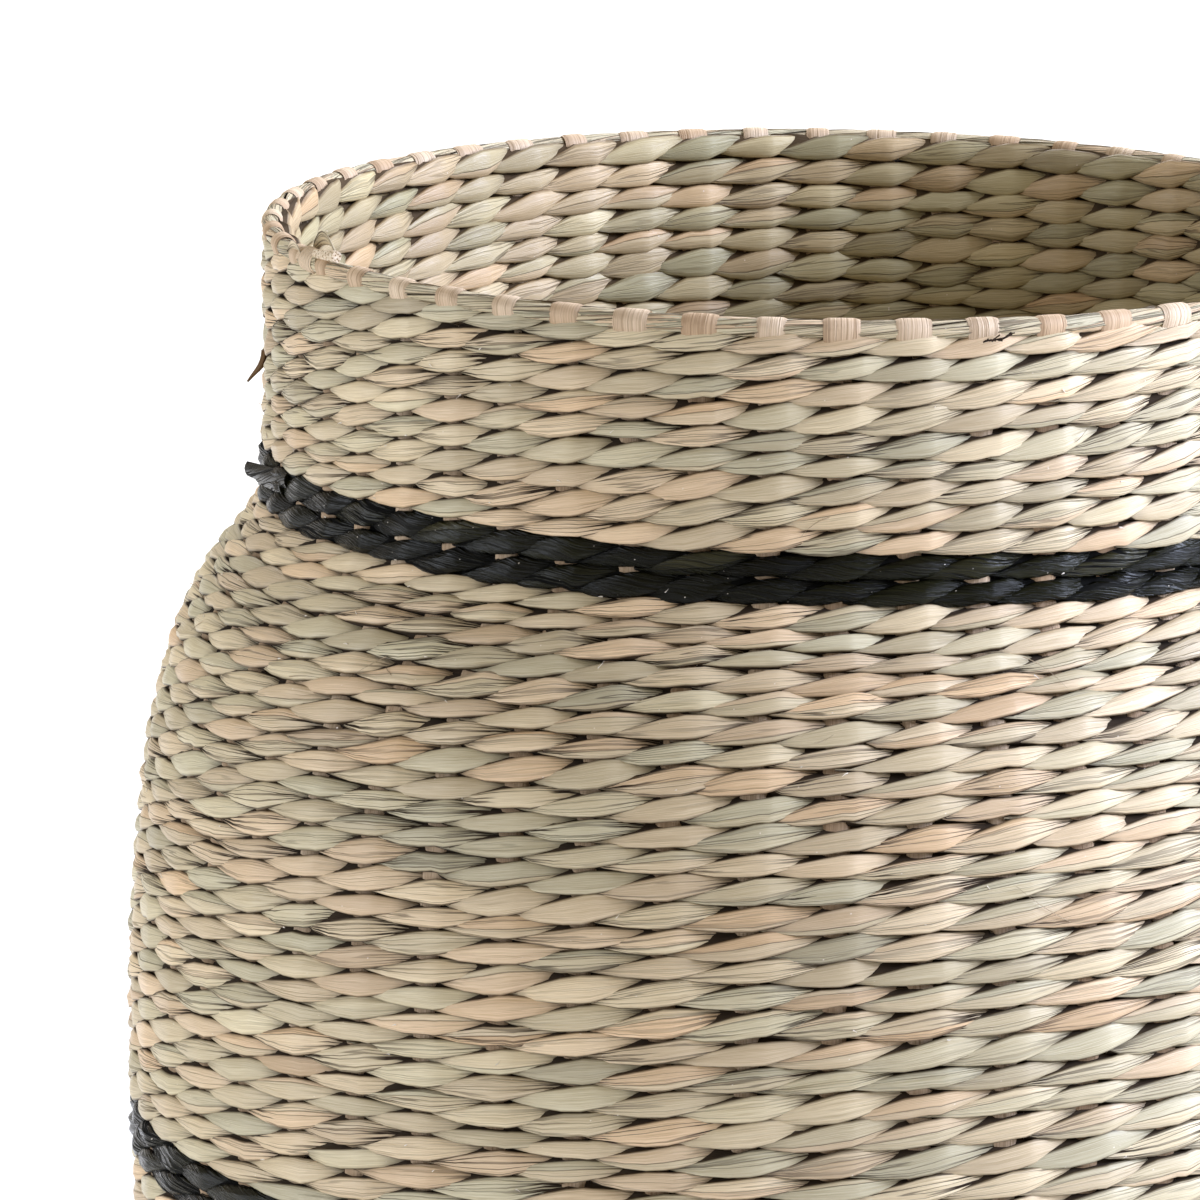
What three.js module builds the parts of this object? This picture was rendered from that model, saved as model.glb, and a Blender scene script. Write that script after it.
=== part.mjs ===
import * as THREE from 'three';

// Woven vase. Flat stakes cross under the base, climb the wall and fold over a cord at the rim.
// Two strands twine round every stake, one passing outside it and one inside, so each stretch of
// the wall has an outer and an inner layer of weft with the stakes held between them.
// Millimetres, +Z up. The base stands on Z = 0 with the vase's axis on Z.

// Stakes
const lanesEachWay = 13;        // stakes side by side in each arm of the base cross
const stakeWidth = 6.5;
const stakeThickness = 0.8;
const laneGap = 0.3;            // between neighbouring stakes in the cross

// Twined weft
const weftThickness = 3.2;      // one strand, across the wall
const neckCourses = 9;
const neckPitch = 5.25;         // height of one course
const bellyCourses = 26;
const bellyPitch = 5.75;
const bandCourses = 2;          // courses in each dark band
const bandPitch = 6.2;
const fitGap = 0.3;             // between pieces that lie against each other

// Shape of the wall, on the middle line where the stakes run
const rimHeight = 380;          // top of the folded stakes
const neckLength = 55;          // straight part of the neck, down from the rim
const neckPull = 36;            // how far the neck's direction carries into the shoulder
const shoulderPull = 130;       // how far the belly's upright direction carries up
const bellyRadius = 158;
const neckInset = 30.5;         // the neck stands in from the belly by this much
const bellyHeight = 189;        // widest level
const bellyPull = 88;           // how far the belly's upright direction carries down
const footPull = 55;            // how far the foot's lean carries up
const footRadius = 108;         // where the base and the wall would meet without a fillet
const footFillet = 14;
const footLean = THREE.MathUtils.degToRad(28);

// Rim
const cordRadius = 1.6;
const spliceGap = 0.6;          // between the cord's two ends
const spliceUpright = 49;       // the ends meet just before this upright, counted from the first
const tieLength = 6;
const tieThickness = 0.6;

// How finely the curved solids are cut
const filletSteps = 2;
const footSteps = 3;
const bellySteps = 4;
const hookSteps = 4;
const cordSides = 8;
const tieSides = 12;

// Sizes that follow
const uprightCount = 4 * lanesEachWay;
const uprightAngle = 2 * Math.PI / uprightCount;
const firstLane = -(lanesEachWay - 1) / 2;
const facetStart = (firstLane - 0.5) * uprightAngle;
const facetStretch = 1 / Math.cos(uprightAngle / 2);
const lanePitch = stakeWidth + laneGap;
const crossHalf = lanesEachWay * lanePitch / 2;
const neckRadius = bellyRadius - neckInset;
const neckFootHeight = rimHeight - neckLength;
const layerRise = (stakeThickness + fitGap) / 2;
const wallNear = stakeThickness / 2 + fitGap;
const wallFar = wallNear + weftThickness;
const baseNear = layerRise + wallNear;
const baseMiddle = wallFar;
const hookReach = cordRadius + fitGap + stakeThickness / 2;
const cordHeight = rimHeight - hookReach - stakeThickness / 2;
const cordCentre = neckRadius + wallFar - stakeThickness / 2 - hookReach;
const weaveTop = cordHeight - cordRadius - tieThickness - 2 * fitGap;

const colours = {
  stake: '#c8ab86',
  cord: '#b7b08e',
  natural: '#c6b894',
  dark: '#25292b',
};

function finish(colour, roughness) {
  return new THREE.MeshStandardMaterial({ color: colour, roughness, metalness: 0 });
}

function named(name, geometry, material) {
  const mesh = new THREE.Mesh(geometry, material);
  mesh.name = name;
  return mesh;
}

// Middle line of the wall as radius and height, from the middle of the base to the top course
function wallLine() {
  const wallFootRadius = footRadius + footFillet * Math.sin(footLean);
  const wallFootHeight = baseMiddle + footFillet * Math.cos(footLean);
  const line = new THREE.Path();
  line.moveTo(0, baseMiddle);
  line.lineTo(footRadius - footFillet, baseMiddle);
  line.quadraticCurveTo(footRadius, baseMiddle, wallFootRadius, wallFootHeight);
  line.bezierCurveTo(
    wallFootRadius + footPull * Math.sin(footLean), wallFootHeight + footPull * Math.cos(footLean),
    bellyRadius, bellyHeight - bellyPull,
    bellyRadius, bellyHeight,
  );
  line.bezierCurveTo(
    bellyRadius, bellyHeight + shoulderPull,
    neckRadius, neckFootHeight - neckPull,
    neckRadius, neckFootHeight,
  );
  line.lineTo(neckRadius, weaveTop);
  return line;
}

const wall = wallLine();
const wallLength = wall.getLength();
const [flatEnd, filletEnd] = wall.getCurveLengths();

// A place on the wall, with the direction that points out of the vase
function wallStation(along) {
  const share = along / wallLength;
  const place = wall.getPoint(share);
  const heading = wall.getTangent(share);
  return { place, outward: new THREE.Vector2(heading.y, -heading.x) };
}

function evenly(start, end, steps) {
  return Array.from({ length: steps + 1 }, (_, i) => start + (end - start) * i / steps);
}

// Stretches of the wall from the base up, each with the places along the wall where it is cut
function wallZones() {
  const neckStart = wallLength - neckCourses * neckPitch;
  const shoulderStart = neckStart - bandCourses * bandPitch;
  const bellyStart = shoulderStart - bellyCourses * bellyPitch;
  const waistStart = bellyStart - bandCourses * bandPitch;
  const baseStart = Math.SQRT2 * crossHalf + laneGap;
  const footCuts = [...evenly(flatEnd, filletEnd, filletSteps), ...evenly(filletEnd, waistStart, footSteps)];
  return [
    { name: 'base', near: baseNear, cuts: [baseStart, flatEnd] },
    { name: 'foot', near: wallNear, cuts: [...new Set(footCuts)] },
    { name: 'waist_band', near: wallNear, cuts: [waistStart, bellyStart] },
    { name: 'belly', near: wallNear, cuts: evenly(bellyStart, shoulderStart, bellySteps) },
    { name: 'shoulder_band', near: wallNear, cuts: [shoulderStart, neckStart] },
    { name: 'neck', near: wallNear, cuts: [neckStart, wallLength] },
  ];
}

const zones = wallZones();

// One layer of weft: a ring between two offsets from the wall's middle line.
// Its facets are as many as the uprights, each facet lying flat against its own upright.
function weftRing(cuts, outerOffset, innerOffset) {
  const ends = [cuts[0] + fitGap / 2, cuts[cuts.length - 1] - fitGap / 2];
  const stations = [ends[0], ...cuts.slice(1, -1), ends[1]].map(wallStation);
  const shifted = (station, offset) => {
    const point = station.place.clone().addScaledVector(station.outward, offset);
    return new THREE.Vector2(point.x * facetStretch, point.y);
  };
  const outerSide = stations.map((station) => shifted(station, outerOffset));
  const innerSide = stations.map((station) => shifted(station, innerOffset)).reverse();
  const outline = [...outerSide, ...innerSide, outerSide[0].clone()];
  const ring = new THREE.LatheGeometry(outline, uprightCount, facetStart);
  return ring.rotateX(Math.PI / 2);
}

function weftLayers(zone) {
  const colour = zone.name.endsWith('band') ? colours.dark : colours.natural;
  const outer = weftRing(zone.cuts, wallFar, zone.near);
  const inner = weftRing(zone.cuts, -zone.near, -wallFar);
  return [
    named(`${zone.name}_outer_weft`, outer, finish(colour, 0.75)),
    named(`${zone.name}_inner_weft`, inner, finish(colour, 0.75)),
  ];
}

// The stake's end in its own upright plane: it leans inside the cord, folds over and comes down outside
function hookStations() {
  const stations = [];
  for (let i = 0; i <= hookSteps; i++) {
    const turn = Math.PI * (1 - i / hookSteps);
    const outward = new THREE.Vector2(-Math.cos(turn), -Math.sin(turn));
    const place = new THREE.Vector2(cordCentre, cordHeight).addScaledVector(outward, -hookReach);
    stations.push({ place, outward });
  }
  const tip = new THREE.Vector2(cordCentre + hookReach, weaveTop + fitGap);
  stations.push({ place: tip, outward: new THREE.Vector2(-1, 0) });
  return stations;
}

// Half of a long stake in the arm that leaves the base towards -Y, from the cross out to its tip.
// Each cross-section has a centre, a direction across the strip and a direction out of its face.
function stakeHalf(lane, layerHeight) {
  const angle = lane * uprightAngle;
  const across = new THREE.Vector3(Math.cos(angle), Math.sin(angle), 0);
  const cuts = zones.flatMap((zone) => zone.cuts.slice(1));
  const upright = [...cuts.map(wallStation), ...hookStations()].map(({ place, outward }) => ({
    centre: new THREE.Vector3(place.x * Math.sin(angle), -place.x * Math.cos(angle), place.y),
    across,
    face: new THREE.Vector3(outward.x * Math.sin(angle), -outward.x * Math.cos(angle), outward.y),
  }));
  const down = new THREE.Vector3(0, 0, -1);
  const start = new THREE.Vector3(lane * lanePitch, -crossHalf, layerHeight);
  const middle = start.clone().lerp(upright[0].centre, 0.5).setZ(layerHeight);
  const spread = upright[0].centre.clone().sub(start).setZ(0).normalize();
  const spreadAcross = new THREE.Vector3(-spread.y, spread.x, 0);
  return [
    { centre: start, across: new THREE.Vector3(1, 0, 0), face: down },
    { centre: middle, across: spreadAcross, face: down },
    ...upright,
  ];
}

// The other half of the same stake leaves the cross towards +Y
function mirrored(section) {
  const flip = new THREE.Vector3(1, -1, 1);
  return {
    centre: section.centre.clone().multiply(flip),
    across: section.across.clone().multiply(flip),
    face: section.face.clone().multiply(flip),
  };
}

// A flat strip through a row of cross-sections, closed at both ends
function stripGeometry(sections) {
  const corners = [[-1, -1], [1, -1], [1, 1], [-1, 1]];
  const points = sections.flatMap(({ centre, across, face }) => corners.map(([side, skin]) => (
    centre.clone()
      .addScaledVector(across, side * stakeWidth / 2)
      .addScaledVector(face, skin * stakeThickness / 2)
  )));
  const index = [0, 1, 2, 0, 2, 3];
  for (let row = 0; row < sections.length - 1; row++) {
    for (let side = 0; side < 4; side++) {
      const a = 4 * row + side;
      const b = 4 * row + (side + 1) % 4;
      index.push(a, a + 4, b, b, a + 4, b + 4);
    }
  }
  const last = 4 * (sections.length - 1);
  index.push(last, last + 2, last + 1, last, last + 3, last + 2);
  const strip = new THREE.BufferGeometry().setFromPoints(points);
  strip.setIndex(index);
  strip.computeVertexNormals();
  return strip;
}

// One arm of the cross: parallel stakes in one layer, running along Y before the arm is turned
function stakeArm(firstNumber, layerHeight) {
  const arm = new THREE.Group();
  for (let i = 0; i < lanesEachWay; i++) {
    const half = stakeHalf(firstLane + i, layerHeight);
    const sections = [...half.map(mirrored).reverse(), ...half];
    const name = `stake_${String(firstNumber + i).padStart(2, '0')}`;
    arm.add(named(name, stripGeometry(sections), finish(colours.stake, 0.7)));
  }
  return arm;
}

// Open ring of the rim cord at the level of its middle, from one end round to the other
class CordLine extends THREE.Curve {
  constructor(radius, start, end) {
    super();
    this.radius = radius;
    this.start = start;
    this.end = end;
  }

  getPoint(t, target = new THREE.Vector3()) {
    const angle = this.start + (this.end - this.start) * t;
    return target.set(this.radius * Math.sin(angle), -this.radius * Math.cos(angle), cordHeight);
  }
}

function circle(radius, sides) {
  const points = Array.from({ length: sides }, (_, i) => {
    const turn = 2 * Math.PI * i / sides;
    return new THREE.Vector2(radius * Math.cos(turn), radius * Math.sin(turn));
  });
  return points;
}

const spliceAngle = facetStart + spliceUpright * uprightAngle;
const spliceRadius = cordCentre * facetStretch;

function rimCord() {
  const halfGap = spliceGap / 2 / spliceRadius;
  const line = new CordLine(spliceRadius, spliceAngle + halfGap, spliceAngle + 2 * Math.PI - halfGap);
  const section = new THREE.Shape(circle(cordRadius, cordSides));
  const cord = new THREE.ExtrudeGeometry(section, { steps: uprightCount, extrudePath: line });
  return named('rim_cord', cord, finish(colours.cord, 0.8));
}

// Sleeve of wound fibre that holds the cord's two ends together
function rimTie() {
  const inside = cordRadius + fitGap;
  const section = new THREE.Shape(circle((inside + tieThickness) / Math.cos(Math.PI / tieSides), tieSides));
  section.holes.push(new THREE.Path(circle(inside / Math.cos(Math.PI / tieSides), tieSides)));
  const sleeve = new THREE.ExtrudeGeometry(section, { depth: tieLength, bevelEnabled: false });
  sleeve.translate(0, 0, -tieLength / 2);
  sleeve.rotateY(Math.PI / 2);
  const tie = named('rim_tie', sleeve, finish(colours.stake, 0.7));
  tie.position.set(spliceRadius * Math.sin(spliceAngle), -spliceRadius * Math.cos(spliceAngle), cordHeight);
  tie.rotation.z = spliceAngle;
  return tie;
}

const lowerArm = stakeArm(1, baseMiddle - layerRise);
const upperArm = stakeArm(1 + lanesEachWay, baseMiddle + layerRise);
upperArm.rotation.z = Math.PI / 2;

const vase = new THREE.Group();
vase.add(lowerArm, upperArm);
vase.add(...zones.flatMap(weftLayers));
vase.add(rimCord(), rimTie());

export default vase;
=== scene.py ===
import math

import bpy
import numpy as np
from mathutils import Matrix, Vector


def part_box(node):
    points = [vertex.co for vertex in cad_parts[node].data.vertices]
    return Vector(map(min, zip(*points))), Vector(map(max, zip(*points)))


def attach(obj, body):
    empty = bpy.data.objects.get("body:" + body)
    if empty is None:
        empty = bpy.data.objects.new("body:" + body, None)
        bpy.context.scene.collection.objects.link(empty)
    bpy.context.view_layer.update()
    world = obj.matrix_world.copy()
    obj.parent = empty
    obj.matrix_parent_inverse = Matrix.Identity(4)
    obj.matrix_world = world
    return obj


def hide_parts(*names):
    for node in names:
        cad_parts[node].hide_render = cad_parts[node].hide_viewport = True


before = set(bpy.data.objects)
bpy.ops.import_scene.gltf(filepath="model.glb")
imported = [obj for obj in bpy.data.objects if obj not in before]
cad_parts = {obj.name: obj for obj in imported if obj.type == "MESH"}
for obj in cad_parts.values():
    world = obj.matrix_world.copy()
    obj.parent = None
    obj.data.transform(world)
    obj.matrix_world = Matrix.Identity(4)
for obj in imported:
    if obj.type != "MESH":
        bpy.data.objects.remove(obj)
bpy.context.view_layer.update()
print("frame loaded")

# Lengths are millimetres where no note says otherwise. Angles go round the axis from -Y towards +X.
millimetre = 0.001          # in Blender's metres
uprights = 52
uprightAngle = 2 * math.pi / uprights
crossHalf = 44.2            # half the width of the cross of stakes under the base
cordHeight = 377.3          # middle of the rim cord

# The wall's middle line, where the stakes run, with the same sizes as the solids
wallShape = {
    "middle": 3.9,          # height of the line in the base, half the wall's thickness
    "footRadius": 108,
    "heel": 14,             # the corner is rounded over this length each way
    "lean": math.radians(28),
    "footPull": 55,         # a pull is how far a direction carries into the next curve
    "bellyRadius": 158,
    "bellyHeight": 189,
    "bellyPull": 88,
    "shoulderPull": 130,
    "neckRadius": 127.5,
    "neckPull": 36,
    "neckLength": 55,
    "rimHeight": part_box("stake_07")[1][2] / millimetre,
    "weaveDrop": 5.5,       # from the rim's top down to the top of the weave
    "overrun": 6,           # how far the line goes on above the weave
    "steps": 500,           # points on each stretch of the line
}


def cubic(points, t):
    # Curve from the first point to the last, pulled towards the two between by cubic weights
    a, b, c, d = points
    return (1 - t) ** 3 * a + 3 * t * (1 - t) ** 2 * b + 3 * t * t * (1 - t) * c + t ** 3 * d


def wallLine(shape):
    # Flat base, quadratic heel, two cubics up to the neck and a straight neck, as radius and height
    t = np.linspace(0, 1, shape["steps"])[:, None]
    up = np.array([0.0, 1.0])
    lean = np.array([math.sin(shape["lean"]), math.cos(shape["lean"])])
    flatEnd = np.array([shape["footRadius"] - shape["heel"], shape["middle"]])
    corner = np.array([shape["footRadius"], shape["middle"]])
    wallFoot = corner + shape["heel"] * lean
    belly = np.array([shape["bellyRadius"], shape["bellyHeight"]])
    neckFoot = np.array([shape["neckRadius"], shape["rimHeight"] - shape["neckLength"]])
    neckTop = np.array([shape["neckRadius"], shape["rimHeight"] - shape["weaveDrop"]])
    stretches = [
        t * flatEnd + (1 - t) * np.array([0.0, shape["middle"]]),
        (1 - t) ** 2 * flatEnd + 2 * t * (1 - t) * corner + t * t * wallFoot,
        cubic([wallFoot, wallFoot + shape["footPull"] * lean, belly - shape["bellyPull"] * up, belly], t),
        cubic([belly, belly + shape["shoulderPull"] * up, neckFoot - shape["neckPull"] * up, neckFoot], t),
        (1 - t) * neckFoot + t * (neckTop + shape["overrun"] * up),
    ]
    line = np.vstack([stretches[0]] + [stretch[1:] for stretch in stretches[1:]])
    along = np.concatenate([[0], np.cumsum(np.hypot(*np.diff(line, axis=0).T))])
    heading = np.gradient(line, along, axis=0)
    heading /= np.hypot(*heading.T)[:, None]
    return line, along, heading, flatEnd[0]


wallPoints, wallAlong, wallHeading, flatEnd = wallLine(wallShape)
wallTop = wallAlong[-1] - wallShape["overrun"]


def wallAt(along):
    # Place on the line with the upward direction along it; outward is that direction turned a quarter
    return [np.interp(along, wallAlong, column) for column in (*wallPoints.T, *wallHeading.T)]


def inSpace(radius, angle, height):
    # Round the axis: x is the radius times the sine of the angle, y the same with minus the cosine
    return np.stack([radius * np.sin(angle), -radius * np.cos(angle), height], axis=-1)


# Where a stretch of strand and the two end faces lie in a bake cell, as shares of the cell
bakeCell = {
    "left": 0.02, "wide": 0.86, "low": 0.05, "tall": 0.9,
    "endPlace": 0.94, "endLevels": np.array([0.28, 0.72]), "endHalfWide": 0.035, "endHalfTall": 0.18,
}
noSplit = 3.0               # a split this far across lies off the leaf's face, so the leaf has one tone


def gridPiece(name, points, material, uv, cells, attributes, sharp):
    # Each group of rings is one closed body with flat ends. points: group, ring along, point round, xyz.
    # uv: place along by group and ring, and place round by point. cells: how many bake cells a group takes
    # and how many columns of cells the bake map has. sharp: degrees.
    groups, rings, sides, _ = points.shape
    spans = rings - 1
    group, along, side = np.meshgrid(np.arange(groups), np.arange(spans), np.arange(sides), indexing="ij")
    alongCorner = along[..., None] + np.array([0, 1, 1, 0])
    sideCorner = side[..., None] + np.array([0, 0, 1, 1])
    corners = (group[..., None] * rings + alongCorner) * sides + sideCorner % sides
    fibreUv = np.stack([uv[0][group[..., None], alongCorner], uv[1][sideCorner]], axis=-1)
    # The bake map gives every stretch of every group a cell of its own, with room at the side for the ends
    stretches, columns = cells
    perCell = spans / stretches
    stretch = np.minimum((along / perCell).astype(int), stretches - 1)
    rows = -(-groups * stretches // columns)
    cell = (group * stretches + stretch)[..., None]
    alongCell = (alongCorner - (stretch * perCell)[..., None]) / perCell
    bakeU = (cell % columns + bakeCell["left"] + bakeCell["wide"] * alongCell) / columns
    bakeV = (cell // columns + bakeCell["low"] + bakeCell["tall"] * sideCorner / sides) / rows
    bakeUv = np.stack([bakeU, bakeV], axis=-1)
    ring = np.arange(sides)
    firstRing = np.arange(groups)[:, None] * rings * sides
    ends = np.stack([firstRing + ring, firstRing + spans * sides + ring[::-1]], axis=1)
    endCell = (np.arange(groups) * stretches)[:, None, None]
    turn = 2 * np.pi * ring / sides
    endU = endCell % columns + bakeCell["endPlace"] + bakeCell["endHalfWide"] * np.cos(turn)
    endV = endCell // columns + bakeCell["endLevels"][:, None] + bakeCell["endHalfTall"] * np.sin(turn)
    endUv = np.stack(np.broadcast_arrays(endU / columns, endV / rows), axis=-1)
    quads = corners.size // 4
    loops = np.concatenate([corners.reshape(-1), ends.reshape(-1)])
    starts = np.concatenate([np.arange(quads) * 4, corners.size + np.arange(2 * groups) * sides])
    uvs = [fibreUv.reshape(-1, 2), np.full((ends.size, 2), 0.5)]
    bakes = [bakeUv.reshape(-1, 2), endUv.reshape(-1, 2)]
    mesh = bpy.data.meshes.new(name)
    mesh.vertices.add(groups * rings * sides)
    mesh.vertices.foreach_set("co", (points * millimetre).astype(np.float32).reshape(-1))
    mesh.loops.add(len(loops))
    mesh.loops.foreach_set("vertex_index", loops.astype(np.int32))
    mesh.polygons.add(len(starts))
    mesh.polygons.foreach_set("loop_start", starts.astype(np.int32))
    mesh.polygons.foreach_set("use_smooth", np.ones(len(starts), bool))
    for layer, values in (("fibre", uvs), ("OFBake", bakes)):
        data = mesh.uv_layers.new(name=layer)
        data.uv.foreach_set("vector", np.concatenate(values).astype(np.float32).reshape(-1))
    for key, values in attributes.items():
        data = mesh.attributes.new(key, "FLOAT", "POINT")
        spread = np.broadcast_to(values[..., None], points.shape[:3])
        data.data.foreach_set("value", np.ascontiguousarray(spread, np.float32).reshape(-1))
    mesh.update(calc_edges=True)
    mesh.validate()
    mesh.set_sharp_from_angle(angle=math.radians(sharp))
    mesh.uv_layers.active = mesh.uv_layers["fibre"]
    mesh.uv_layers["fibre"].active_render = True
    mesh.materials.append(material)
    piece = bpy.data.objects.new(name, mesh)
    bpy.context.scene.collection.objects.link(piece)
    return piece


def oneTone(tone, shade, tip, crease):
    # Attributes by group and ring of strands that have a single tone
    flat = np.zeros(tone.shape)
    return {"tone": tone, "toneTwo": tone, "split": flat + noSplit, "shade": flat + shade, "tip": flat + tip,
            "crease": flat + crease}


def colour(code):
    # sRGB hex code as linear light
    parts = [int(code[i:i + 2], 16) / 255 for i in (1, 3, 5)]
    return (*[p / 12.92 if p <= 0.04045 else ((p + 0.055) / 1.055) ** 2.4 for p in parts], 1)


def addNode(material, kind, inputs=None, out=0, limits=(), stops=None, **settings):
    # Gives the output that is asked for. limits: from and to of a Map Range. stops: hex colours of a ramp.
    tree = material.node_tree
    node = tree.nodes.new("ShaderNode" + kind)
    for key, value in settings.items():
        setattr(node, key, value)
    for key, value in (*enumerate(limits, 1), *(inputs or {}).items()):
        if isinstance(value, bpy.types.NodeSocket):
            tree.links.new(value, node.inputs[key])
        else:
            node.inputs[key].default_value = value
    if stops:
        elements = node.color_ramp.elements
        while len(elements) < len(stops):
            elements.new(0.5)
        for element, (place, code) in zip(elements, stops.items()):
            element.position = place
            element.color = colour(code)
    return node.outputs[out] if node.outputs else None


def newMaterial(name):
    material = bpy.data.materials.new(name)
    material.use_nodes = True
    material.node_tree.nodes.clear()
    return material


# A colour Mix node's pair of colours, which share their names with other sockets, and two ways to use it
mixFirst, mixSecond, mixed = 6, 7, 2
multiply = {"data_type": "RGBA", "blend_type": "MULTIPLY", "out": mixed}
cover = {"data_type": "RGBA", "out": mixed}

# What every leaf has. The fibre map counts stake spacings along a strand. Across, it runs from 0 to 1 over
# the face and goes on past 1 over the back. A fade is where a mark starts to change and where it ends.
leafSkin = {
    "spacing": 15.6,        # millimetres that one unit along stands for
    "width": 6.0,           # and one unit across, about
    "middle": 0.5,
    "veinFade": (0.3, 0.7),
    "pleatFade": (0.5, 1.2),        # in pleat widths
    "seamFade": (0.008, 0.03),      # across, from the seam between two tones
    "seamDark": 0.55,
    "tipFade": (0.2, 0.8),
    "edgeFade": (0.41, 0.5),        # across, from the leaf's middle line
    "backFade": (1.0, 1.05),
    "dustPitch": (1.3, 1.333),      # along and across
    "dustFade": (0.06, 0.16),
    "dustCover": 0.85,
    "dustColour": "#f0e6d6",
    "relief": 0.25,
    "pleatRough": 0.95,
}


def leafMaterial(name, look):
    # Dry leaf: tone differs from stitch to stitch, fine veins and dark pleats run along the strand, the
    # pleats dark with painted shade in their creases, and painted shade darkens the tips, edges and back.
    # veinSize and pleatSize are a length and a width in millimetres, and pleats have a width and a depth of
    # painted shade in the leaf's middle and then at its tips.
    m = newMaterial(name)
    uv = addNode(m, "UVMap", uv_map="fibre")
    along = addNode(m, "SeparateXYZ", {"Vector": uv}, "X")
    across = along.node.outputs["Y"]
    tone, toneTwo, split, shade, tip, crease = [
        addNode(m, "Attribute", out="Fac", attribute_name=key)
        for key in ("tone", "toneTwo", "split", "shade", "tip", "crease")]
    slant = addNode(m, "Math", {0: along, 1: look["slant"], 2: across}, operation="MULTIPLY_ADD")
    grain = addNode(m, "CombineXYZ", {"X": along, "Y": slant})
    noises = []
    for (length, width), detail in ((look["veinSize"], 3), (look["pleatSize"], 1)):
        scale = (leafSkin["spacing"] / length, look["width"] / width, 1)
        place = addNode(m, "Mapping", {"Vector": grain, "Scale": scale})
        noises.append(addNode(m, "TexNoise", {"Vector": place, "Scale": 1, "Detail": detail}))
    veins, pleats = noises

    # Distances from the middle of a pleat, from the seam and from the leaf's middle line
    middle = leafSkin["middle"]
    offsets = [addNode(m, "Math", {0: value, 1: zero}, operation="SUBTRACT")
               for value, zero in ((pleats, middle), (across, split), (across, middle))]
    fromPleat, fromSeam, fromMiddle = [addNode(m, "Math", {0: offset}, operation="ABSOLUTE")
                                       for offset in offsets]

    # Dark lines: a pleat, painted shade in a crease, runs where its noise crosses the middle value, a seam
    # where two tones meet
    pleatWidth = addNode(m, "MapRange", {"Value": tip}, limits=(0, 1, *look["pleatWidths"]))
    fromPleat = addNode(m, "Math", {0: fromPleat, 1: pleatWidth}, operation="DIVIDE")
    line = addNode(m, "MapRange", {"Value": fromPleat}, limits=(*leafSkin["pleatFade"], 1, 0))
    depth = addNode(m, "MapRange", {"Value": tip}, limits=(0, 1, *look["pleatDepths"]))
    line = addNode(m, "Math", {0: line, 1: depth}, operation="MULTIPLY")
    line = addNode(m, "Math", {0: line, 1: crease}, operation="MULTIPLY")
    seam = addNode(m, "MapRange", {"Value": fromSeam},
                   limits=(*leafSkin["seamFade"], leafSkin["seamDark"], 0))
    line = addNode(m, "Math", {0: line, 1: seam}, operation="MAXIMUM")
    # The back, seen only in the gaps between stitches, takes the dark pleat colour: painted shade in the
    # gaps
    back = addNode(m, "MapRange", {"Value": across}, limits=(*leafSkin["backFade"], 0, look["gapShade"]))
    line = addNode(m, "Math", {0: line, 1: back}, operation="MAXIMUM")

    # Painted shade at the tips, where they go in under their neighbours, and towards both edges, where the
    # leaf rolls into the gaps
    deep = addNode(m, "MapRange", {"Value": tip}, limits=(*leafSkin["tipFade"], 0, look["tipShade"]))
    edge = addNode(m, "MapRange", {"Value": fromMiddle}, limits=(*leafSkin["edgeFade"], 0, look["edgeShade"]))
    deep = addNode(m, "Math", {0: deep, 1: edge}, operation="MAXIMUM")

    # Pale grains of dust, in the share of the cells that the look gives
    dustAlong, dustAcross = leafSkin["dustPitch"]
    dustScale = (leafSkin["spacing"] / dustAlong, leafSkin["width"] / dustAcross, 1)
    place = addNode(m, "Mapping", {"Vector": uv, "Scale": dustScale})
    dust = addNode(m, "TexVoronoi", {"Vector": place, "Scale": 1}, "Distance")
    chosen = addNode(m, "SeparateColor", {"Color": dust.node.outputs["Color"]}, "Red")
    chosen = addNode(m, "Math", {0: chosen, 1: look["dust"]}, operation="LESS_THAN")
    dust = addNode(m, "MapRange", {"Value": dust}, limits=(*leafSkin["dustFade"], leafSkin["dustCover"], 0))
    dust = addNode(m, "Math", {0: dust, 1: chosen}, operation="MULTIPLY")

    # The leaf's tone, times its veins, its own shade and the painted shade of its tips and edges, under its
    # dark lines, which hold painted shade, and its dust
    over = addNode(m, "Math", {0: across, 1: split}, operation="GREATER_THAN")
    toneHere = addNode(m, "Mix", {"Factor": over, "A": tone, "B": toneTwo}, data_type="FLOAT")
    skin = addNode(m, "ValToRGB", {"Fac": toneHere}, stops=look["palette"])
    veinPart = addNode(m, "MapRange", {"Value": veins}, limits=(*leafSkin["veinFade"], 0, 1))
    veinTint = addNode(m, "Mix", {"Factor": veinPart, mixFirst: (*look["veinDark"], 1),
                                  mixSecond: (*[look["veinLight"]] * 3, 1)}, **cover)
    for share, layer, way in ((1.0, veinTint, multiply), (1.0, shade, multiply),
                              (deep, (*look["shadeTint"], 1), multiply), (line, colour(look["pleat"]), cover),
                              (dust, colour(leafSkin["dustColour"]), cover)):
        skin = addNode(m, "Mix", {"Factor": share, mixFirst: skin, mixSecond: layer}, **way)

    height = addNode(m, "Math", {0: veins, 1: look["veinRelief"]}, operation="MULTIPLY")
    height = addNode(m, "Math", {0: height, 1: line}, operation="SUBTRACT")
    bump = addNode(m, "Bump", {
        "Height": height, "Strength": look["bump"], "Distance": leafSkin["relief"] * millimetre})
    rough = addNode(m, "MapRange", {"Value": line}, limits=(0, 1, look["roughness"], leafSkin["pleatRough"]))
    shader = addNode(m, "BsdfPrincipled", {
        "Base Color": skin, "Roughness": rough, "Specular IOR Level": look["gloss"], "Normal": bump})
    addNode(m, "OutputMaterial", {"Surface": shader})
    return m


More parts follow.
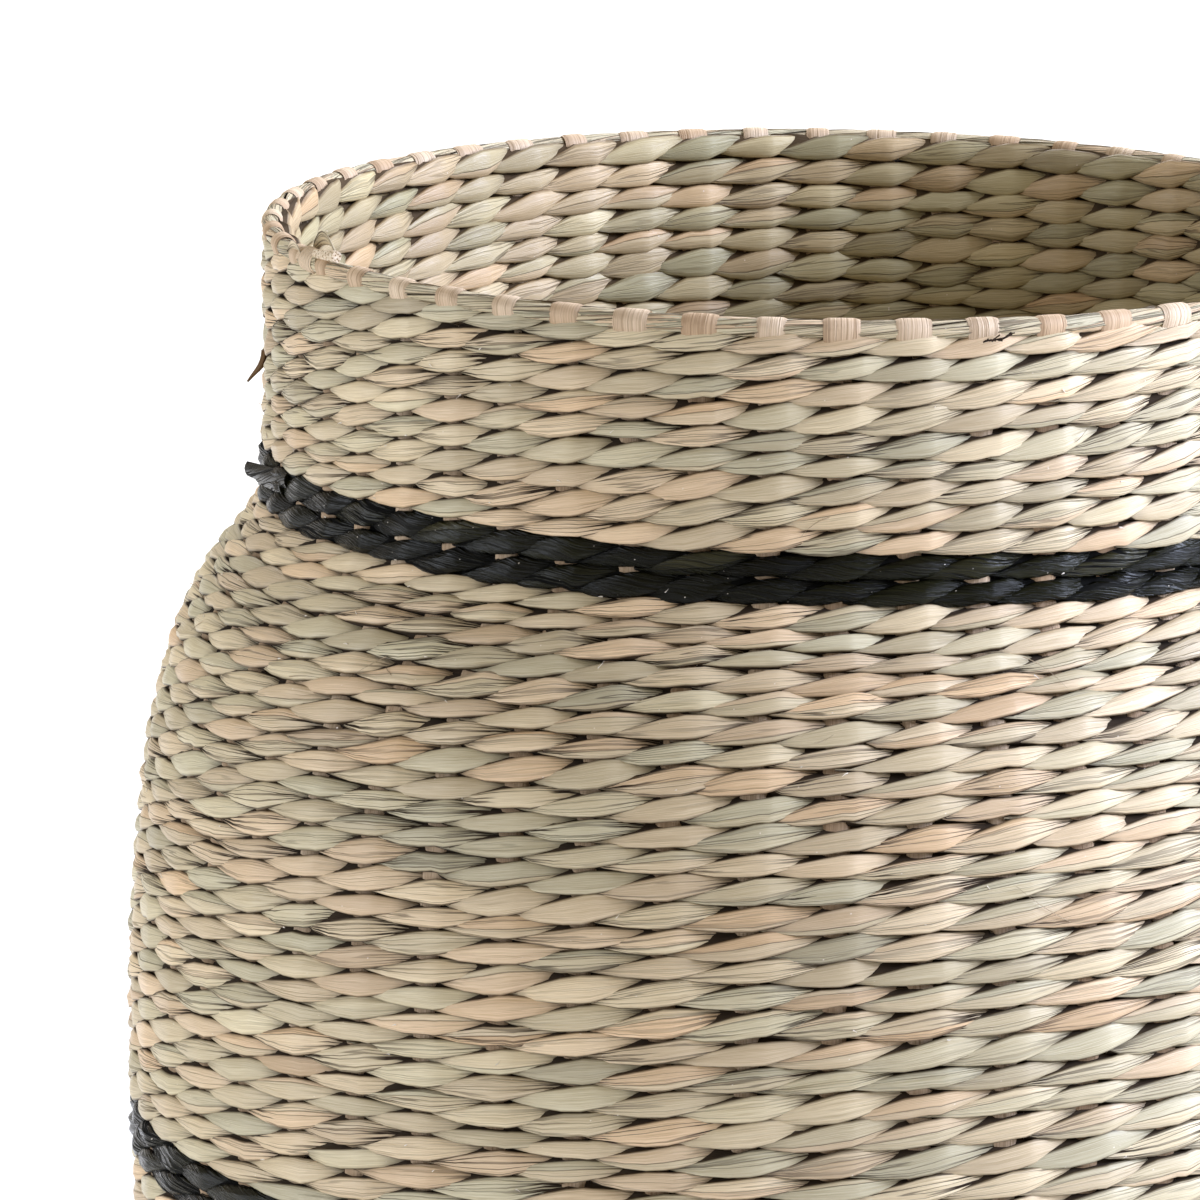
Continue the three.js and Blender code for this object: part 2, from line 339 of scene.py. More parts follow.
# Dried seagrass gives pale sage, khaki and tan leaves with a satin face. Its veins, 0.2 mm wide, are about
# the finest lines that the picture shows.
driedLook = {
    "palette": {0.0: "#c4bd9f", 0.25: "#cdc2a1", 0.5: "#d5c5a3", 0.75: "#dbc4a2", 0.93: "#ddbf97",
                1.0: "#e4d2b0"},
    "width": 6.0, "slant": 0.05,
    "veinSize": (12.0, 0.2), "veinDark": (0.8, 0.74, 0.64), "veinLight": 1.18, "veinRelief": 0.6,
    "pleat": "#2e200e", "pleatSize": (44.57, 1.5), "pleatWidths": (0.024, 0.06), "pleatDepths": (0.45, 3.0),
    "tipShade": 0.95, "edgeShade": 1.0, "shadeTint": (0.13, 0.095, 0.05), "gapShade": 0.9, "dust": 0.015,
    "bump": 1.0, "roughness": 0.38, "gloss": 0.42,
}
naturalSeagrass = leafMaterial("dried seagrass", driedLook)

# The same leaf inside the vase as a painted shaded copy: its palette is darker and more yellow green,
# painted for the shade and the colour of the light inside, and its painted gap shade is paler
shadedSeagrass = leafMaterial("seagrass with painted inside shade", {
    **driedLook,
    "palette": {0.0: "#b7b08d", 0.25: "#bfb48e", 0.5: "#c7b791", 0.75: "#ccb590", 0.93: "#cfb188",
                1.0: "#d5c39d"},
    "pleat": "#463520", "shadeTint": (0.3, 0.23, 0.14), "gapShade": 0.85,
})

# Black dyed seagrass is a warm black with a sheen and a few worn lighter lines. On black, veins of 0.2 mm
# don't show, so they are drawn 0.6 mm wide.
blackSeagrass = leafMaterial("black dyed seagrass", {
    "palette": {0.0: "#0b0b03", 0.5: "#131307", 0.9: "#1c1c0e", 1.0: "#302e1c"},
    "width": 6.6, "slant": 0.9,
    "veinSize": (17.333, 0.6), "veinDark": (0.3, 0.3, 0.28), "veinLight": 1.9, "veinRelief": 1.8,
    "pleat": "#030301", "pleatSize": (39.0, 1.65), "pleatWidths": (0.036, 0.09), "pleatDepths": (1.0, 1.5),
    "tipShade": 0.9, "edgeShade": 1.0, "shadeTint": (0.1, 0.1, 0.08), "gapShade": 0.95, "dust": 0.05,
    "bump": 1.0, "roughness": 0.18, "gloss": 0.18,
})

# Split stake strip gives warm tan fibre with close straight ridges, drawn about three times as coarse as the
# real fibres so that they show
stakeStrip = leafMaterial("split fibre strip", {
    "palette": {0.0: "#b39572", 0.5: "#c9ae8d", 1.0: "#e2cfb3"},
    "width": 6.5, "slant": 0.0,
    "veinSize": (39.0, 0.1477), "veinDark": (0.76, 0.7, 0.62), "veinLight": 1.1, "veinRelief": 1.0,
    "pleat": "#8a6d4c", "pleatSize": (78.0, 0.7222), "pleatWidths": (0.024, 0.06), "pleatDepths": (0.4, 0.4),
    "tipShade": 0.0, "edgeShade": 0.3, "shadeTint": (0.5, 0.4, 0.28), "gapShade": 0.0, "dust": 0.0,
    "bump": 0.8, "roughness": 0.55, "gloss": 0.3,
})
print("materials made")

# Twined courses. Two strands pass each stake, one outside and one inside, and swap between stakes, so each
# side of the wall shows one leaf for every stake in every course: low at its left end, high at its right.
leaf = {
    "along": np.array([-1, -0.84, -0.54, -0.24, 0, 0.12, 0.18, 0.52, 0.84, 1]),
    "face": np.array([-1, -0.9, -0.48, 0, 0.48, 0.9, 1]),
    "halfLength": 1.05,     # in stake spacings, so neighbours lap
    "reach": 1.08,          # where its height would come to nothing, in half lengths
    "blunt": 6, "rounding": 0.75,       # powers that keep the leaf's height up to its end
    "lead": 0.1,            # a stitch sits a little to the right of its stake
    "steep": 0.9,           # rise of the joint between two neighbours over one spacing, in course heights
    "lap": 0.35,
    "corner": 7,            # how sharply the joint and the top meet
    "cover": 1.13,          # stitch height over course height
    "leastHeight": 0.4,
    "pinch": 0.12, "pinchMost": 0.35,   # how much narrower a leaf is where it is pulled over its stake
    "pinchReach": 0.22,
    "middle": 2.5,          # how far out the leaf's edges lie from the wall's middle line
    "dive": 1.8,            # how far its ends go in under their neighbours
    "fold": 0.15,           # where the ends start to bend in, in half lengths
    "rightBend": 0.8, "leftBend": 1.2,  # powers: sharp over the stake's right edge, soft at the left
    "tuck": 0.7,            # the right end goes in more and the left end less
    "swell": 1.05,
    "fullness": 6,          # power that keeps the face full up to its edges
    "backDepth": 0.55, "backCurve": 0.15,
    "backHalf": 0.4, "backGain": 0.11,  # half the back's height in course heights, and what it gains
    "backReach": 0.4,       # over this many stake spacings
    "shingle": 0.2,         # lower edge out and upper edge in
    "twist": 0.3,
    "uneven": 1.0,          # times every spread below
    "toneMiddle": 0.47, "creased": 1.0,
}
# Inside, the leaves are a little shorter and taller, smoother and steeper
innerLeaf = {**leaf, "halfLength": 0.99, "cover": 1.17, "pinch": 0.0, "steep": 1.12, "blunt": 3.2,
             "swell": 1.2, "lap": 0.55, "toneMiddle": 0.4, "creased": 0.65}
# Dyed strands are rounder and stiffer, so they turn like rope and leave small gaps
dyedLeaf = {**leaf, "halfLength": 1.1, "cover": 1.1, "pinch": 0.13, "middle": 2.2, "swell": 1.5,
            "uneven": 1.3, "steep": 1.0}

# How much stitches differ: shares of the size, but millimetres for shift, crumple, stand and shingle
leafSpread = {
    "length": 0.09, "height": 0.06, "pinch": 0.12, "slope": 0.08, "shift": 0.14, "tilt": 0.22, "swell": 0.12,
    "crumple": 0.16, "bend": 0.12, "stand": 0.14, "shingle": 0.15, "lead": 0.03,
}
# Colour drifts along a strand, which shows at every other stake, and jumps a little between stitches
leafTone = {
    "driftStakes": 4, "driftSpan": 0.9, "jump": 0.12,
    "secondSteps": (-0.35, 0.3), "splitShare": 0.3, "splitPlaces": (0.2, 0.8),
    "shadeSpread": 0.09, "leastCrease": 0.1, "creaseSpan": 1.2, "creasePower": 1.6,
    # tip, which sets the painted shade and the pleats, is halved at the left tip
    "leftTip": 0.5,         # the left tip is lit more than the right one
    "mapShift": 500,        # every stitch takes its veins from a place of its own
}
backPlaces = [1.3, 1.7, 2.0]    # on the fibre map, over a stitch's back
stitchCell = 0.6            # height over width of a stitch's bake cell

# Courses wander: waves round the vase, length of a wave up the wall, height of a wave and its start
wander = [(2, 120, 0.2, 0.4), (3, 300, 0.8, 5.7), (3, 23, 0.35, 1.9), (5, 60, 0.3, 4.0), (7, 15, 0.2, 2.7)]
wanderFade = 25             # the waves die out over this length below the rim


def wandered(along, angle):
    # A place up the wall, shifted by the sum of the waves there
    shift = sum(high * np.sin(waves * angle + 2 * np.pi * along / length + start)
                for waves, length, high, start in wander)
    return along + shift * np.clip((wallTop - along) / wanderFade, 0, 1)


def stitchLayer(name, along, height, side, seed, material, lift, form):
    # A leaf's upper edge is the lower of two lines: the slanting joint with its left neighbour and a top
    # that rounds off to the right end. Its lower edge is the same turned half a turn. Between the edges the
    # face swells as one minus a power of the place across. Both ends bend in past the fold, the right one
    # sharply. The back is as tall as the course between the stakes, so the wall is closed there.
    rng = np.random.default_rng(seed)
    courses = len(along)
    height = height[:, None, None, None]
    face = form["face"]
    step = form["along"][:, None]

    def vary(what, sides=1):
        return rng.normal(0, leafSpread[what] * form["uneven"], (courses, uprights, 1, sides))

    halfLength = form["halfLength"] * (1 + vary("length"))
    place = step * halfLength
    half = 0.5 * form["cover"] * height * (1 + vary("height"))
    pinch = np.clip(form["pinch"] + vary("pinch"), 0, form["pinchMost"])
    slope = form["steep"] * height * (1 + vary("slope"))

    def edge(at):
        taper = 1 - (np.maximum(at, 0) / (form["reach"] * halfLength)) ** form["blunt"]
        top = half * np.maximum(taper, 0.001) ** form["rounding"]
        top = top * (1 - pinch * np.exp(-(at / form["pinchReach"]) ** 2))
        joint = slope * (at + 0.5) + form["lap"]
        corner = form["corner"]
        return -np.logaddexp(-corner * top, -corner * joint) / corner

    upper = edge(place)
    lower = -edge(-place)
    broad = np.maximum(upper - lower, form["leastHeight"]) / 2
    beside = np.clip(np.abs(place) / form["backReach"], 0, 1)
    back = height * (form["backHalf"] + form["backGain"] * beside ** 2)
    up = np.concatenate([(upper + lower) / 2 + broad * face, back, -back], axis=-1)
    up = up + vary("shift") + place * vary("tilt")
    swell = form["swell"] * (1 + vary("swell")) * np.minimum(1, broad / half)
    swell = swell * (1 - face ** form["fullness"])
    crumple = vary("crumple", len(face)) * (1 - face ** 2) * (1 - step ** 2)
    pastFold = np.maximum(np.abs(step) - form["fold"], 0) / (1 - form["fold"])
    bend = pastFold ** np.where(step > 0, form["rightBend"], form["leftBend"]) * (1 + vary("bend"))
    dive = form["dive"] * bend * (1 + form["tuck"] * step)
    out = form["middle"] + vary("stand") - dive + swell + crumple
    out = out - (form["shingle"] + vary("shingle")) * face - form["twist"] * step * face
    inside = form["backDepth"] - form["backCurve"] * step ** 2 + 0 * half
    out = lift + np.concatenate([out, inside, inside], axis=-1)
    stake = np.arange(uprights)[:, None, None]
    angle = uprightAngle * (stake + side * (form["lead"] + vary("lead") + place))
    radius, level, headR, headZ = wallAt(wandered(along[:, None, None, None] + up, angle))
    level = np.maximum(level - side * out * headR, 0)   # pressed flat on what the vase stands on
    points = inSpace(radius + side * out * headZ, angle + 0 * up, level)
    groups = courses * uprights
    points = points.reshape(groups, len(step), -1, 3)

    at = np.arange(uprights) / leafTone["driftStakes"]
    low = np.floor(at).astype(int)
    drift = rng.uniform(0, 1, (courses, 2, low[-1] + 2))
    drift = drift[:, :, low] * (1 - at + low) + drift[:, :, low + 1] * (at - low)
    drift = np.where(np.arange(uprights) % 2 == 0, drift[:, 0], drift[:, 1])
    tone = form["toneMiddle"] + leafTone["driftSpan"] * (drift - 0.5)
    tone = np.clip(tone + rng.normal(0, leafTone["jump"], drift.shape), 0, 1).reshape(groups, 1)
    toneTwo = np.clip(tone + rng.choice(leafTone["secondSteps"], tone.shape), 0, 1)
    split = np.where(rng.uniform(0, 1, tone.shape) < leafTone["splitShare"],
                     rng.uniform(*leafTone["splitPlaces"], tone.shape), noSplit)
    shade = rng.normal(1, leafTone["shadeSpread"], tone.shape)
    crease = leafTone["creaseSpan"] * rng.uniform(0, 1, tone.shape) ** leafTone["creasePower"]
    crease = form["creased"] * (leafTone["leastCrease"] + crease)
    tip = np.abs(step[:, 0]) ** 2 * np.where(step[:, 0] > 0, 1.0, leafTone["leftTip"])
    alongUv = (place + 0 * height).reshape(groups, -1) + rng.uniform(0, leafTone["mapShift"], (groups, 1))
    roundUv = np.concatenate([(face + 1) / 2, backPlaces])
    columns = max(1, round(math.sqrt(groups * stitchCell)))
    flat = np.zeros((groups, len(step)))
    return gridPiece(name, points, material, (alongUv, roundUv), cells=(1, columns), sharp=50, attributes={
        "tone": flat + tone, "toneTwo": flat + toneTwo, "split": flat + split, "shade": flat + shade,
        "tip": flat + tip, "crease": flat + crease})


def course(start, end, count, growth=0.0):
    # Middles and heights of the courses from the upper end down, growing evenly by the given share
    height = 1 + growth * (np.arange(count) / max(count - 1, 1) - 0.5)
    height *= (start - end) / height.sum()
    return start - np.cumsum(height) + height / 2, height


weft = {
    "neckCourses": 9, "neckPitch": 5.25,
    "bandCourses": 2, "bandPitch": 6.2,
    "bellyCourses": 26, "bellyPitch": 5.75,
    "footCourses": 30, "baseCourses": 5,
    "topRise": 2.6,         # the first course reaches up between the folded stakes
    "innerRise": 1.1,       # inside it reaches higher, which dies out over a few courses
    "innerFade": 1.5,
    "bellyGrowth": 0.1,     # lower courses are taller
    "baseLift": 0.45,
    "crossGap": 0.3,        # round the corners of the cross
}
neckStart = wallTop - weft["neckCourses"] * weft["neckPitch"]
shoulderStart = neckStart - weft["bandCourses"] * weft["bandPitch"]
bellyStart = shoulderStart - weft["bellyCourses"] * weft["bellyPitch"]
waistStart = bellyStart - weft["bandCourses"] * weft["bandPitch"]
crossEdge = math.sqrt(2) * crossHalf + weft["crossGap"]
zones = [
    {"zone": "neck", "span": (wallTop + weft["topRise"], neckStart), "courses": weft["neckCourses"],
     "innerRise": weft["innerRise"]},
    {"zone": "shoulder_band", "span": (neckStart, shoulderStart), "courses": weft["bandCourses"]},
    {"zone": "belly", "span": (shoulderStart, bellyStart), "courses": weft["bellyCourses"],
     "growth": weft["bellyGrowth"], "parts": 2},
    {"zone": "waist_band", "span": (bellyStart, waistStart), "courses": weft["bandCourses"]},
    {"zone": "foot", "span": (waistStart, flatEnd), "courses": weft["footCourses"], "parts": 2},
    {"zone": "base", "span": (flatEnd, crossEdge), "courses": weft["baseCourses"], "lift": weft["baseLift"]},
]
for number, zone in enumerate(zones):
    dark = zone["zone"].endswith("band")
    middles, heights = course(*zone["span"], zone["courses"], zone.get("growth", 0))
    for part, rows in enumerate(np.array_split(np.arange(zone["courses"]), zone.get("parts", 1))):
        innerRise = zone.get("innerRise", 0) * np.exp(-rows / weft["innerFade"])
        for layer, side, rise, skin, stitch in (("outer", 1, 0, naturalSeagrass, leaf),
                                                ("inner", -1, innerRise, shadedSeagrass, innerLeaf)):
            seed = 100 * number + 10 * part + side + 1
            name = f"{zone['zone']}_{layer}_stitches_{part + 1}"
            piece = stitchLayer(name, middles[rows] + rise, heights[rows], side, seed,
                                blackSeagrass if dark else skin, zone.get("lift", 0),
                                dyedLeaf if dark else stitch)
            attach(piece, "root")
            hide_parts(f"{zone['zone']}_{layer}_weft")
print("twined courses made")

# Stakes: flat strips across the base, up inside the weave and folded over the rim cord
stakes = {
    "lanes": 13, "lanePitch": 6.8, "layerRise": 0.55, "width": 6.5, "thickness": 0.7,
    "wallThickness": 2.6,           # where the fibre swells between the courses
    "wallFrom": (12, 8),            # height where that starts and the length it takes
    "wallTo": (368, 6),             # the same for its end
    "wallSteps": 66, "floorSteps": 5,
    "foldRadius": 128.7,            # of the fold's middle, round the vase's axis
    "hook": 2.12, "hookSpread": 0.06, "hookSteps": 11,
    "tuck": np.array([0.25, 0.6, 1.0]), "tuckIn": 2.2, "tuckCurve": 1.3, "tuckDrop": 5.0,
    "tuckFacing": (-0.93, 0.35),
    "foldWidths": (-0.15, 0.28), "foldFade": 8,     # folded ends are narrower or wider by a share between
    "rimFrom": 374,
    "leanSpread": 0.0003125, "leanMost": 8,         # radians for each millimetre above rimFrom
    "facePoints": 7, "backPoints": 3, "backWide": 0.7, "faceRound": 0.9, "facePower": 6,
    "backRound": 0.2,
    "mapShift": 300, "backPlaces": [1.12, 1.25, 1.38, 1.5],
    # rimTone and rimShade also paint the light that falls on the rim from above
    "tones": (0.35, 0.9), "rimFade": 3, "rimTone": 0.15, "rimShade": 0.05,      # folded ends are paler
    "seed": 900,
}
stripUnit = 16              # millimetres of strip to one unit of the fibre map


def stakeLine(lane, layer, rng, form):
    # Half a stake from the cross to its tip, as centre, direction across the strip, direction out of its
    # face and width: a straight line on the floor, the wall's line, half a circle over the cord and a tucked
    # end
    angle = lane * uprightAngle
    radius, height, headR, headZ = wallAt(np.linspace(flatEnd, wallTop, form["wallSteps"]))
    fold = np.linspace(0, np.pi, form["hookSteps"])
    hook = form["hook"] + rng.normal(0, form["hookSpread"])
    hookR = form["foldRadius"] - hook * np.cos(fold)
    hookZ = cordHeight + hook * np.sin(fold)
    tuck = form["tuck"]
    tuckR = hookR[-1] - form["tuckIn"] * tuck ** form["tuckCurve"]
    tuckZ = hookZ[-1] - form["tuckDrop"] * tuck
    tuckFaceR, tuckFaceZ = form["tuckFacing"]
    r = np.concatenate([radius, hookR, tuckR])
    z = np.concatenate([height, hookZ, tuckZ])
    outR = np.concatenate([headZ, np.cos(fold), np.full(len(tuck), tuckFaceR)])
    outZ = np.concatenate([-headR, -np.sin(fold), np.full(len(tuck), tuckFaceZ)])
    lean = rng.normal(0, form["leanSpread"]) * np.clip(z - form["rimFrom"], 0, form["leanMost"])
    folded = np.clip((z - form["wallTo"][0]) / form["foldFade"], 0, 1)
    width = form["width"] * (1 + rng.uniform(*form["foldWidths"]) * folded)
    centre = inSpace(r, angle + lean, z)
    side = np.broadcast_to([math.cos(angle), math.sin(angle), 0], centre.shape)
    face = inSpace(outR, angle + 0 * r, outZ)
    share = np.linspace(0, 1, form["floorSteps"] + 1)[:-1, None]
    ease = share * share * (3 - 2 * share)
    start = np.array([lane * form["lanePitch"], -crossHalf, 0.0])
    floor = start * (1 - share) + centre[0] * share
    floor[:, 2] = layer * (1 - ease[:, 0]) + centre[0, 2] * ease[:, 0]
    spread = (centre[0] - start)[:2] / np.hypot(*(centre[0] - start)[:2])
    floorSide = (1 - ease) * np.array([1.0, 0, 0]) + ease * np.array([-spread[1], spread[0], 0])
    floorFace = np.broadcast_to([0.0, 0, -1], floor.shape)
    floorWidth = np.full(len(share), form["width"])
    return (np.vstack([floor, centre]), np.vstack([floorSide, side]), np.vstack([floorFace, face]),
            np.concatenate([floorWidth, width]))


def stakeArm(name, layer, quarter, seed, form=stakes):
    # A flat lens section carried along both halves of every stake of one arm of the cross
    rng = np.random.default_rng(seed)
    faceAcross = np.linspace(-1, 1, form["facePoints"])
    backAcross = np.linspace(form["backWide"], -form["backWide"], form["backPoints"])
    across = np.concatenate([faceAcross, backAcross])
    swell = np.concatenate([1 - form["faceRound"] * faceAcross ** form["facePower"],
                            -1 + form["backRound"] * backAcross ** 2])
    middleLane = form["lanes"] // 2
    middlePoint = form["facePoints"] // 2
    (low, lowFade), (high, highFade) = form["wallFrom"], form["wallTo"]
    lanes = []
    for lane in range(-middleLane, middleLane + 1):
        halves = []
        for flip in (np.array([1, -1, 1.0]), np.array([1, 1, 1.0])):
            centre, side, face, width = stakeLine(lane, layer, rng, form)
            z = centre[:, 2]
            inWall = np.clip((high - z) / highFade, 0, 1) * np.clip((z - low) / lowFade, 0, 1)
            thick = form["thickness"] + (form["wallThickness"] - form["thickness"]) * inWall
            sideways = side[:, None] * (across * width[:, None] / 2)[..., None]
            outwards = face[:, None] * (swell * thick[:, None] / 2)[..., None]
            halves.append((centre[:, None] + sideways + outwards) * flip)
        lanes.append(np.concatenate([halves[0][::-1], halves[1]]))
    points = np.stack(lanes)
    if quarter:
        points = np.stack([-points[..., 1], points[..., 0], points[..., 2]], axis=-1)
    steps = np.linalg.norm(np.diff(points[middleLane, :, middlePoint], axis=0), axis=-1)
    length = np.concatenate([[0], np.cumsum(steps)]) / stripUnit
    alongUv = length + rng.uniform(0, form["mapShift"], len(lanes))[:, None]
    roundUv = np.concatenate([(faceAcross + 1) / 2, form["backPlaces"]])
    tone = rng.uniform(*form["tones"], len(lanes))[:, None]
    # Over the rim the tone and shade rise: folded ends are paler, and this also paints the light from above
    rim = np.clip((points[..., middlePoint, 2] - form["rimFrom"]) / form["rimFade"], 0, 1)
    tone = np.clip(tone + form["rimTone"] * rim, 0, 1)
    return gridPiece(name, points[:, :, ::-1], stakeStrip, (alongUv, roundUv), cells=(6, 6), sharp=60,
                     attributes=oneTone(tone, 1 + form["rimShade"] * rim, tip=0, crease=1))


for number, (layer, quarter) in enumerate(((-1, False), (1, True))):
    height = wallShape["middle"] + layer * stakes["layerRise"]
    piece = stakeArm(f"stake_arm_{number + 1}", height, quarter, stakes["seed"] + number)
    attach(piece, "root")
    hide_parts(*[f"stake_{13 * number + i + 1:02d}" for i in range(13)])
print("stakes made")

# Rim cord: a loose bundle of leaves laid round the rim under the folded stakes
cord = {
    "radius": 128.9,
    "splice": -9.5, "lap": 0.35,            # where its ends meet and how far they lap, in stake spacings
    "stepsEach": 6,                         # rings for each stake spacing
    "leaves": 6, "halfWidth": 1.6, "halfThick": 0.62, "bundle": 1.32,
    "loose": (1.05, 1.06),                  # the bundle and a leaf's width between wraps, as shares
    "drawn": (0.07, 0.1),                   # what a wrap takes off those
    "wind": 0.9,                            # turn of the bundle over a stake spacing, in radians
    "sway": 0.5, "swayRate": 0.7, "bulge": 0.06, "bulgeRate": 3.1,
    "endRise": 1.1,                         # over the last stake spacing
    "toneMiddle": 0.3, "toneSpread": 0.18, "mapShift": 200, "seed": 77,
}


def rimCord(form=cord):
    # Each leaf is a lens tube that winds slowly and unevenly round the cord's middle, drawn in at every wrap
    rng = np.random.default_rng(form["seed"])
    start = form["splice"] - form["lap"]
    end = form["splice"] + uprights + form["lap"]
    place = np.linspace(start, end, uprights * form["stepsEach"] + 1)
    faceAcross = np.linspace(-1, 1, 5)
    across = np.concatenate([faceAcross, [0.5, -0.5]])
    swell = np.concatenate([1 - faceAcross ** 2, [-0.5, -0.5]])
    strand = np.arange(form["leaves"])[:, None]
    turn = 2 * np.pi * strand / form["leaves"] + form["wind"] * place
    turn = turn + form["sway"] * np.sin(form["swayRate"] * place + 2 * strand)
    wrap = 0.5 + 0.5 * np.cos(2 * np.pi * place)
    bundle, broad = [full - drawn * wrap for full, drawn in zip(form["loose"], form["drawn"])]
    bundle = form["bundle"] * bundle + form["bulge"] * np.sin(form["bulgeRate"] * place + 5 * strand)
    broad = form["halfWidth"] * across * broad[..., None]
    facing = bundle[..., None] + form["halfThick"] * swell
    out = facing * np.cos(turn)[..., None] - broad * np.sin(turn)[..., None]
    up = facing * np.sin(turn)[..., None] + broad * np.cos(turn)[..., None]
    rise = form["endRise"] * np.clip(place - end + 1, 0, 1) ** 2
    points = inSpace(form["radius"] + out, (uprightAngle * place)[:, None] + 0 * out,
                     cordHeight + up + rise[:, None])
    tone = form["toneMiddle"] + rng.normal(0, form["toneSpread"], (form["leaves"], 1))
    tone = np.clip(tone + 0 * place, 0, 1)
    alongUv = place + rng.uniform(0, form["mapShift"], (form["leaves"], 1))
    roundUv = np.concatenate([(faceAcross + 1) / 2, [0.75, 0.25, 0.0]])
    return gridPiece("rim_cord_leaves", points, naturalSeagrass, (alongUv, roundUv), cells=(6, 3), sharp=70,
                     attributes=oneTone(tone, shade=1.05, tip=0.2, crease=0.6))


piece = rimCord()
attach(piece, "root")
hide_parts("rim_cord")

# Rim tie: a pale strip wound round the cord where its ends lap. Its shade of 1.3 lifts it past the palette's
# palest tone, painted light where it lies in the key light's shade
tie = {"turns": 4.5, "length": 7.0, "radius": 2.2, "rise": 0.3, "halfWidth": 0.8, "halfThick": 0.62,
       "tone": 1.0, "shade": 1.3, "steps": 100}


def rimTie(form=tie):
    # A flat strip follows a helix round the cord
    t = np.linspace(0, 1, form["steps"])
    turn = 2 * np.pi * form["turns"] * t[:, None]
    across = np.array([-1, -0.5, 0, 0.5, 1, 0.5, -0.5])
    swell = np.array([0, 0.75, 1, 0.75, 0, -0.5, -0.5])
    place = form["length"] * (t - 0.5)[:, None] + form["halfWidth"] * across
    ring = form["radius"] + form["halfThick"] * swell + 0 * place
    angle = cord["splice"] * uprightAngle + place / cord["radius"]
    points = inSpace(cord["radius"] + ring * np.cos(turn), angle,
                     cordHeight + form["rise"] + ring * np.sin(turn))
    tone = np.full((1, form["steps"]), form["tone"])
    roundUv = np.array([0, 0.2, 0.4, 0.6, 0.8, 1.0, 1.25, 1.5])
    return gridPiece("rim_tie_winding", points[None, :, ::-1], stakeStrip, ((2 * t)[None], roundUv),
                     cells=(1, 1), sharp=60, attributes=oneTone(tone, form["shade"], tip=0, crease=1))


piece = rimTie()
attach(piece, "root")
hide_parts("rim_tie")
print("rim made")

# Weathered leaf is brown and dull, as dry tips and torn bits are. Its veins are drawn a little coarse so
# that they show.
weatheredLeaf = leafMaterial("weathered leaf", {
    "palette": {0.0: "#2a211a", 0.5: "#6e5334", 1.0: "#a58a5f"},
    "width": 4.2, "slant": 0.0,
    "veinSize": (10.4, 0.3), "veinDark": (0.6, 0.58, 0.55), "veinLight": 1.3, "veinRelief": 0.8,
    "pleat": "#1c140c", "pleatSize": (19.5, 1.05), "pleatWidths": (0.03, 0.075), "pleatDepths": (0.5, 0.8),
    "tipShade": 0.3, "edgeShade": 0.0, "shadeTint": (0.5, 0.4, 0.3), "gapShade": 0.3, "dust": 0.0,
    "bump": 0.9, "roughness": 0.7, "gloss": 0.15,
})

strip = {
    "wide": np.array([-1, -0.5, 0, 0.5, 1, 0.5, 0, -0.5]),
    "deep": np.array([0, 0.75, 1, 0.75, 0, -0.75, -1, -0.75]),
    "round": np.array([0, 0.25, 0.5, 0.75, 1.0, 0.75, 0.5, 0.25, 0.0]),
    "mapShift": 90, "shadeSpread": 0.06, "tip": 0.5, "crease": 0.6,
}


def leafStrip(name, centre, across, halfWidth, halfThick, material, tone, seed, form=strip):
    # A lens section carried along each path: centre and direction across by group and ring
    rng = np.random.default_rng(seed)
    groups, rings, _ = centre.shape
    along = np.gradient(centre, axis=1)
    across = across / np.linalg.norm(across, axis=-1, keepdims=True)
    facing = np.cross(along, across)
    facing /= np.linalg.norm(facing, axis=-1, keepdims=True)
    sideways = across[:, :, None] * (halfWidth[..., None] * form["wide"])[..., None]
    outwards = facing[:, :, None] * (halfThick[..., None] * form["deep"])[..., None]
    length = np.cumsum(np.linalg.norm(along, axis=-1), axis=1) / stripUnit
    alongUv = length + rng.uniform(0, form["mapShift"], (groups, 1))
    shade = rng.normal(1, form["shadeSpread"], (groups, 1))
    tip = form["tip"] * np.linspace(0, 1, rings) ** 2
    tone = tone + np.zeros((groups, rings))
    return gridPiece(name, centre[:, :, None] + sideways + outwards, material, (alongUv, form["round"]),
                     cells=(1, 4), sharp=60, attributes=oneTone(tone, shade, tip, form["crease"]))


def byWall(angle, along, out):
    # A place on the wall's line, moved square out from it and turned round the axis
    radius, level, headR, headZ = wallAt(along)
    return inSpace(radius + out * headZ, angle, level - out * headR)


# Splice: leaves of the cord bend back beside the tie, and its cut end shows pale spongy pith. Starts, ends
# and lengths along the rim are stake spacings, counted from the splice.
splice = {
    "leaves": [
        {"start": 0.5, "end": -0.45, "out": -2.6, "base": 0.8, "rise": 4.4, "half": 1.9, "tone": 0.35},
        {"start": -0.08, "end": -0.72, "out": 2.0, "base": 0.6, "rise": 1.6, "half": 2.1, "tone": 0.55},
    ],
    "lean": 0.5, "drawIn": 0.5, "archPower": 0.7,
    "leafEnd": 0.4, "leafThick": 0.28, "leafRings": 12, "leafSeed": 41,
    "endStart": 0.2, "endLength": 0.7, "endOut": 0.8, "endBase": 2.2, "endRise": 1.2, "endLean": 0.25,
    "endHalves": (1.2, 1.575),      # half widths at its start and end
    "endFlat": 0.815,               # thickness over width
    "endRings": 5, "endSeed": 43,
}

